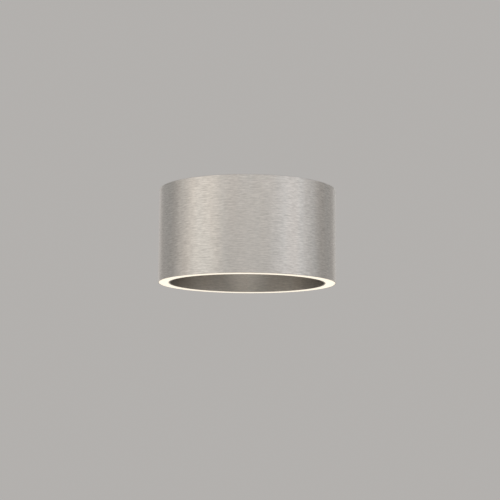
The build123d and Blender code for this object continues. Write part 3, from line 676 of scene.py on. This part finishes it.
def taped_coil_grid(half_sizes, hole, half_height, columns=64):
    """A flat-sided coil round Z with a rectangular hole, as rings that close on themselves.

    The outline is a superellipse with the exponent 6, and so is the hole's, with the exponent 30.
    The rows go out along the lower end, up the outside and in along the upper end. Each has its
    height, as a share of the half height, and its share of the way from the hole to the outline.
    Outside, the tape bulges by nearly a tenth of a millimetre at mid height and steps in at each
    end by half of that.
    """
    rows = np.array([
        (-1.0, 0.0), (-1.0, 0.5), (-1.0, 0.93), (-0.95, 0.97), (-0.86, 0.97), (-0.85, 0.985), (-0.4, 0.997),
        (0.0, 1.0),
        (0.4, 0.997), (0.85, 0.985), (0.86, 0.97), (0.95, 0.97), (1.0, 0.93), (1.0, 0.5), (1.0, 0.0),
    ])
    way = np.linspace(0.0, 2 * np.pi, columns, endpoint=False)

    def outline(sizes, power):
        size = (np.abs(np.cos(way)) ** power + np.abs(np.sin(way)) ** power) ** (-1.0 / power)
        return np.stack([sizes[0] * np.cos(way) * size, sizes[1] * np.sin(way) * size], axis=-1)

    outside, inside = outline(half_sizes, 6.0), outline(hole, 30.0)
    plan = inside + rows[:, 1, None, None] * (outside - inside)
    height = np.broadcast_to(half_height * rows[:, :1, None], (len(rows), columns, 1))
    return np.concatenate([plan, height], axis=-1)


# ---------------------------------------------------------------- pieces
def add_screws(zinc, nickel):
    """Every screw of the light, each set in place of its plain CAD screws."""
    board_top = np.array(UP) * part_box("led_board_upper")[1].z / MM
    points, _ = on_circle(MIDDLE_R / MM, BOARD_SCREW_ANGLES)
    screw = pan_screw(BOARD_SCREW, columns=24)
    above = stand(screw, points + board_top, np.tile(UP, (len(points), 1)))
    below = stand(screw, points - board_top, np.tile(DOWN, (len(points), 1)))
    add_surface("board_screws_cut", np.concatenate([above, below]), zinc, ["board_screws"])

    for node, (size, way, points) in PAN_SCREWS.items():
        grids = stand(pan_screw(size), points, np.tile(way, (len(points), 1)))
        add_surface(node + "_cut", grids, zinc, [node])

    ends = on_circle(BORE_SLEEVE_R / MM + SET_SCREW_END, SET_SCREW_ANGLES)
    headless = screw_grid(M3, M3_PITCH, SET_SCREW_LENGTH, SET_SCREW_RIM, SET_SCREW_SOCKET)
    add_surface("core_set_screws_cut", stand(headless, *ends), zinc, ["core_set_screws"])

    for node, (length, heads) in FLAT_SCREWS.items():
        grids = stand(flat_screw(length), *zip(*heads))
        add_surface(node + "_cut", grids, nickel, [node])


def add_led_windows(phosphor):
    """A low yellow dome on each LED package."""
    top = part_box("leds_upper")[1].z / MM
    dome = dome_grid(*LED_WINDOW) + [MIDDLE_R / MM, 0.0, top]
    angles = (np.arange(LED_COUNT) + 0.5) * 360.0 / LED_COUNT
    add_surface("led_windows_upper", turned(dome, angles), phosphor)
    below = dome * [1.0, -1.0, -1.0]
    add_surface("led_windows_lower", turned(below, angles), phosphor)


def add_windings(tape, copper):
    """The transformer's taped coil and the choke's bare one."""
    coil = taped_coil_grid(*TRANSFORMER_COIL) + TRANSFORMER_MIDDLE
    add_surface("transformer_coil", coil[None, ::-1], tape, ["driver_windings"], ring=True)
    wire = stand(coil_grid(*CHOKE_COIL), [CHOKE_FOOT], [BACK])
    add_surface("choke_coil", wire, copper)


# ---------------------------------------------------------------- settings
class BrushedFinish(PropertyGroup):
    """The sleeves' and the box's metal."""

    colour: FloatVectorProperty(
        name="Colour", description="Colour of the metal", subtype="COLOR", size=3,
        default=(0.62, 0.597, 0.568), min=0.0, max=1.0,
    )
    # The bore's colour is the sleeves' brushed metal made darker and warmer: painted shade inside the bore,
    # with the rings' warm light painted on it.
    bore_shade_colour: FloatVectorProperty(
        name="Bore colour", description="Colour of the metal inside the bore", subtype="COLOR", size=3,
        default=(0.508, 0.478, 0.436), min=0.0, max=1.0,
    )
    roughness: FloatProperty(name="Roughness", description="Mean roughness", default=0.36, min=0.0, max=1.0)
    line_length: FloatProperty(
        name="Line length", description="Length of a brush line", default=0.0038, unit="LENGTH"
    )
    line_width: FloatProperty(
        name="Line width", description="Width of a brush line", default=0.0012, unit="LENGTH"
    )
    line_contrast: FloatProperty(
        name="Line contrast", description="How far a line departs from the mean tone", default=0.24,
        subtype="FACTOR", min=0.0, max=1.0,
    )


class LitRing(PropertyGroup):
    """The two lit faces."""

    colour: FloatVectorProperty(
        name="Colour", description="Colour of the light", subtype="COLOR", size=3,
        default=(1.0, 0.885, 0.70), min=0.0, max=1.0,
    )
    strength: FloatProperty(name="Strength", description="Brightness of the lit face", default=0.76, min=0.0)


class Studio(PropertyGroup):
    """The camera, the lamps and what stands round the light."""

    camera: FloatVectorProperty(
        name="Camera", description="Place of the camera", subtype="TRANSLATION", size=3,
        default=(0.0067, -1.2441, -0.1685), unit="LENGTH",
    )
    pitch: FloatProperty(
        name="Pitch", description="How far the camera looks up", default=0.1407, subtype="ANGLE"
    )
    yaw: FloatProperty(
        name="Yaw", description="How far the camera turns right", default=-0.0039, subtype="ANGLE"
    )
    roll: FloatProperty(name="Roll", description="How far the camera leans", default=0.0063, subtype="ANGLE")
    lens: FloatProperty(
        name="Lens", description="Focal length on a 36 mm sensor, in mm", default=94.33, min=1.0
    )
    floor_drop: FloatProperty(
        name="Floor", description="Height of the light above the floor", default=1.35, unit="LENGTH"
    )
    world: FloatProperty(name="World", description="Brightness of the surroundings", default=0.45, min=0.0)
    world_colour: FloatVectorProperty(
        name="World colour", description="Colour of the surroundings", subtype="COLOR", size=3,
        default=(1.0, 0.968, 0.935), min=0.0, max=1.0,
    )
    side_level: FloatProperty(
        name="Side level", description="Brightness of the two broad side panels", default=0.345, min=0.0
    )
    core_level: FloatProperty(
        name="Core level", description="Extra brightness at the side panels' middle", default=0.385, min=0.0
    )
    high_level: FloatProperty(
        name="High level", description="Brightness of the panel high in front", default=1.52, min=0.0
    )
    low_level: FloatProperty(
        name="Low level", description="Brightness of the panel low in front", default=0.56, min=0.0
    )
    back_level: FloatProperty(
        name="Back level", description="Brightness of the panel behind", default=0.27, min=0.0
    )


# ---------------------------------------------------------------- operators
class WALLLIGHT_OT_sleeves(Operator):
    """Finish the outer and the inner sleeve"""

    bl_idname = "wall_light.sleeves"
    bl_label = "Sleeves"

    def execute(self, context):
        finish = context.scene.wall_light_metal
        outside = brushed_round("brushed_outer_sleeve", finish, finish.colour, TUBE_R)
        dress(outside, "outer_sleeve")
        # The inner sleeve gets the darker, warmer bore colour, which is painted shade of the bore and
        # painted warm light from the rings.
        bore = brushed_round("brushed_inner_sleeve_painted_shade", finish, finish.bore_shade_colour, BORE_SLEEVE_R)
        dress(bore, "inner_sleeve")
        return {"FINISHED"}


class WALLLIGHT_OT_lit_rings(Operator):
    """Finish the two opal rings that the light shines through"""

    bl_idname = "wall_light.lit_rings"
    bl_label = "Lit rings"

    def execute(self, context):
        dress(opal("lit_opal", context.scene.wall_light_ring), "diffuser_upper", "diffuser_lower")
        return {"FINISHED"}


class WALLLIGHT_OT_led_ring(Operator):
    """Finish the core ring and the LED boards with what is on them"""

    bl_idname = "wall_light.led_ring"
    bl_label = "LED ring"

    def execute(self, context):
        dress(turned_metal("turned_core", (0.72, 0.72, 0.73)), "core_ring")
        dress(led_board_mask("white_solder_mask"), "led_board_upper", "led_board_lower")
        dress(moulded("led_package", (0.84, 0.83, 0.78), 0.3), "leds_upper", "leds_lower")
        dress(plated_steel("solder", (0.74, 0.75, 0.76), 0.2), "solder_joints")
        add_led_windows(moulded("led_phosphor", (0.90, 0.70, 0.16), 0.3, coat=0.3))
        return {"FINISHED"}


class WALLLIGHT_OT_wall_box(Operator):
    """Finish the box behind the tube, its saddle and its bush"""

    bl_idname = "wall_light.wall_box"
    bl_label = "Wall box"

    def execute(self, context):
        dress(brushed_along("brushed_box", context.scene.wall_light_metal), "wall_box")
        dress(turned_metal("milled_saddle", (0.70, 0.70, 0.71), 0.0006), "saddle_plate")
        dress(moulded("natural_nylon", (0.84, 0.82, 0.74), 0.4), "wire_bush")
        return {"FINISHED"}


class WALLLIGHT_OT_fasteners(Operator):
    """Cut the threads and sockets of every screw"""

    bl_idname = "wall_light.fasteners"
    bl_label = "Fasteners"

    def execute(self, context):
        add_screws(
            plated_steel("zinc_plate", (0.66, 0.68, 0.70)),
            plated_steel("nickel_plate", (0.56, 0.54, 0.51)),
        )
        return {"FINISHED"}


class WALLLIGHT_OT_driver(Operator):
    """Finish the LED driver's case and the parts on its board"""

    bl_idname = "wall_light.driver"
    bl_label = "LED driver"

    def execute(self, context):
        dress(moulded("driver_plastic", (0.80, 0.80, 0.78), 0.5), "driver_case", "driver_lid")
        dress(circuit_board("green_solder_mask", (0.02, 0.16, 0.07), (0.05, 0.30, 0.12)), "driver_board")
        dress(moulded("ferrite", (0.06, 0.06, 0.065), 0.5), "driver_transformer", "driver_choke")
        dress(capacitors("capacitors"), "driver_capacitors")
        dress(small_parts("small_parts"), "driver_parts")
        add_windings(
            moulded("yellow_tape", (0.80, 0.55, 0.06), 0.3, coat=0.3),
            plated_steel("enamelled_copper", (0.72, 0.30, 0.12), 0.25),
        )
        return {"FINISHED"}


class WALLLIGHT_OT_wall_plate(Operator):
    """Finish the wall bracket with its bush and earth lug"""

    bl_idname = "wall_light.wall_plate"
    bl_label = "Wall plate"

    def execute(self, context):
        dress(galvanised_sheet("galvanised_sheet", (0.60, 0.62, 0.64)), "wall_bracket")
        dress(moulded("soft_grey", (0.09, 0.09, 0.10), 0.55), "entry_bush")
        dress(plated_steel("tinned_lug", (0.74, 0.74, 0.72)), "earth_lug")
        return {"FINISHED"}


class WALLLIGHT_OT_terminals(Operator):
    """Finish the terminal block, its cages and its release buttons"""

    bl_idname = "wall_light.terminals"
    bl_label = "Terminals"

    def execute(self, context):
        dress(moulded("terminal_grey", (0.56, 0.58, 0.58), 0.42), "terminal_block", "terminal_base")
        dress(plated_steel("tinned_brass", (0.78, 0.66, 0.42)), "terminal_clamps")
        dress(moulded("button_brown", (0.24, 0.10, 0.04), 0.35), "release_button_line")
        dress(moulded("button_blue", (0.03, 0.14, 0.46), 0.35), "release_button_neutral")
        dress(moulded("button_green", (0.05, 0.34, 0.10), 0.35), "release_button_earth")
        return {"FINISHED"}


class WALLLIGHT_OT_leads(Operator):
    """Finish the leads inside the box and the tube"""

    bl_idname = "wall_light.leads"
    bl_label = "Leads"

    def execute(self, context):
        dress(insulation("red_insulation", (0.50, 0.02, 0.02)), "lead_positive", "link_lead")
        dress(insulation("black_insulation", (0.015, 0.015, 0.015)), "lead_negative")
        dress(insulation("brown_insulation", (0.14, 0.05, 0.02)), "line_lead")
        dress(insulation("blue_insulation", (0.02, 0.09, 0.40)), "neutral_lead")
        green, yellow = (0.05, 0.32, 0.05), (0.85, 0.70, 0.04)
        dress(insulation("earth_insulation", green, yellow), "earth_lead")
        return {"FINISHED"}


class WALLLIGHT_OT_studio(Operator):
    """Add the camera, the lamps and the floor"""

    bl_idname = "wall_light.studio"
    bl_label = "Studio"

    def execute(self, context):
        studio = context.scene.wall_light_studio
        add_camera(context, studio)
        add_floor(studio)
        add_world(context, studio)
        add_lamps(studio)
        context.scene.view_settings.view_transform = "Standard"
        return {"FINISHED"}


# ---------------------------------------------------------------- studio
def add_camera(context, studio):
    """The photograph's own view, from a little below the light."""
    camera = bpy.data.objects.new("camera", bpy.data.cameras.new("camera"))
    context.collection.objects.link(camera)
    camera.data.lens = studio.lens
    camera.data.sensor_width = 36.0
    camera.location = studio.camera
    ahead = np.array([
        math.sin(studio.yaw) * math.cos(studio.pitch),
        math.cos(studio.yaw) * math.cos(studio.pitch),
        math.sin(studio.pitch),
    ])
    level = np.array([math.cos(studio.yaw), -math.sin(studio.yaw), 0.0])
    upright = np.cross(level, ahead)
    right = math.cos(studio.roll) * level + math.sin(studio.roll) * upright
    up = math.cos(studio.roll) * upright - math.sin(studio.roll) * level
    axes = np.column_stack([right, up, -ahead])
    camera.rotation_mode = "QUATERNION"
    camera.rotation_quaternion = Matrix(axes.tolist()).to_quaternion()
    context.scene.camera = camera


def add_floor(studio):
    """A pale floor, well below the light."""
    half = 12.0
    corners = ((-half, -half), (half, -half), (half, half), (-half, half))
    mesh = bpy.data.meshes.new("floor")
    mesh.from_pydata([(x, y, -studio.floor_drop) for x, y in corners], [], [(0, 1, 2, 3)])
    floor = bpy.data.objects.new("floor", mesh)
    bpy.context.collection.objects.link(floor)
    graph = Graph("pale_floor")
    tone = graph.shades(graph.grain(graph.place(), 3.0), (0.90, 0.90, 0.89), (0.92, 0.92, 0.91))
    floor.data.materials.append(graph.surface(Base_Color=tone, Roughness=0.8))


def add_world(context, studio):
    """An even glow of one colour all round."""
    world = bpy.data.worlds.new("studio")
    world.use_nodes = True
    glow = world.node_tree.nodes["Background"]
    glow.inputs["Color"].default_value = (*studio.world_colour, 1.0)
    glow.inputs["Strength"].default_value = studio.world
    context.scene.world = world


def add_lamp_panel(name, angle, distance, size, level, colour, height=0.0):
    """A soft rectangular lamp that faces the tube and doesn't show in the picture.

    The angle is counted from the front towards the right. A lamp's power is its brightness, where
    1 shows as white, times pi and its area.
    """
    data = bpy.data.lights.new(name, "AREA")
    data.shape = "RECTANGLE"
    data.size, data.size_y = size
    data.energy = level * math.pi * size[0] * size[1]
    data.color = colour
    lamp = bpy.data.objects.new(name, data)
    bpy.context.collection.objects.link(lamp)
    turn = math.radians(angle)
    lamp.location = (distance * math.sin(turn), AXIS_Y - distance * math.cos(turn), height)
    towards = Vector((0.0, AXIS_Y, 0.0)) - lamp.location
    lamp.rotation_mode = "QUATERNION"
    lamp.rotation_quaternion = towards.to_track_quat("-Z", "Y")
    lamp.visible_camera = False


def add_lamps(studio):
    """Warm panels to the left, cool and dimmer ones to the right, one high, one low, one behind."""
    warm, cool, plain = (1.0, 0.955, 0.885), (0.955, 0.965, 1.0), (1.0, 0.985, 0.965)
    for name, side, colour, dim in (("left", -1, warm, 1.0), ("right", 1, cool, 0.85)):
        broad, core = studio.side_level * dim, studio.core_level * dim
        add_lamp_panel(name + "_panel", side * 63, 1.5, (2.1, 1.3), broad, colour, 0.35)
        add_lamp_panel(name + "_core", side * 58, 1.45, (1.0, 1.3), core, colour, 0.35)
    add_lamp_panel("high_panel", 0, 1.5, (2.2, 1.0), studio.high_level, plain, 1.2)
    add_lamp_panel("low_panel", 3, 1.6, (1.1, 1.0), studio.low_level, plain, -0.7)
    add_lamp_panel("back_panel", 180, 2.2, (3.0, 1.6), studio.back_level, plain, 0.4)


# ---------------------------------------------------------------- panel and registration
STEPS = (
    WALLLIGHT_OT_studio, WALLLIGHT_OT_sleeves, WALLLIGHT_OT_lit_rings, WALLLIGHT_OT_led_ring,
    WALLLIGHT_OT_wall_box, WALLLIGHT_OT_fasteners, WALLLIGHT_OT_driver, WALLLIGHT_OT_wall_plate,
    WALLLIGHT_OT_terminals, WALLLIGHT_OT_leads,
)


class WALLLIGHT_PT_panel(Panel):
    """The wall light's pieces, in the order they are made"""

    bl_idname = "WALLLIGHT_PT_panel"
    bl_label = "Wall light"
    bl_space_type = "VIEW_3D"
    bl_region_type = "UI"
    bl_category = "Wall light"

    def draw(self, context):
        for step in STEPS:
            self.layout.operator(step.bl_idname)
        scene = context.scene
        for group in (scene.wall_light_metal, scene.wall_light_ring, scene.wall_light_studio):
            box = self.layout.box()
            for key in group.__annotations__:
                box.prop(group, key)


CLASSES = (BrushedFinish, LitRing, Studio, *STEPS, WALLLIGHT_PT_panel)


def register():
    for cls in CLASSES:
        bpy.utils.register_class(cls)
    bpy.types.Scene.wall_light_metal = PointerProperty(type=BrushedFinish)
    bpy.types.Scene.wall_light_ring = PointerProperty(type=LitRing)
    bpy.types.Scene.wall_light_studio = PointerProperty(type=Studio)


def unregister():
    del bpy.types.Scene.wall_light_studio
    del bpy.types.Scene.wall_light_ring
    del bpy.types.Scene.wall_light_metal
    for cls in reversed(CLASSES):
        bpy.utils.unregister_class(cls)


def main():
    register()
    for step in STEPS:
        group, name = step.bl_idname.split(".")
        getattr(getattr(bpy.ops, group), name)()


if __name__ == "__main__":
    main()
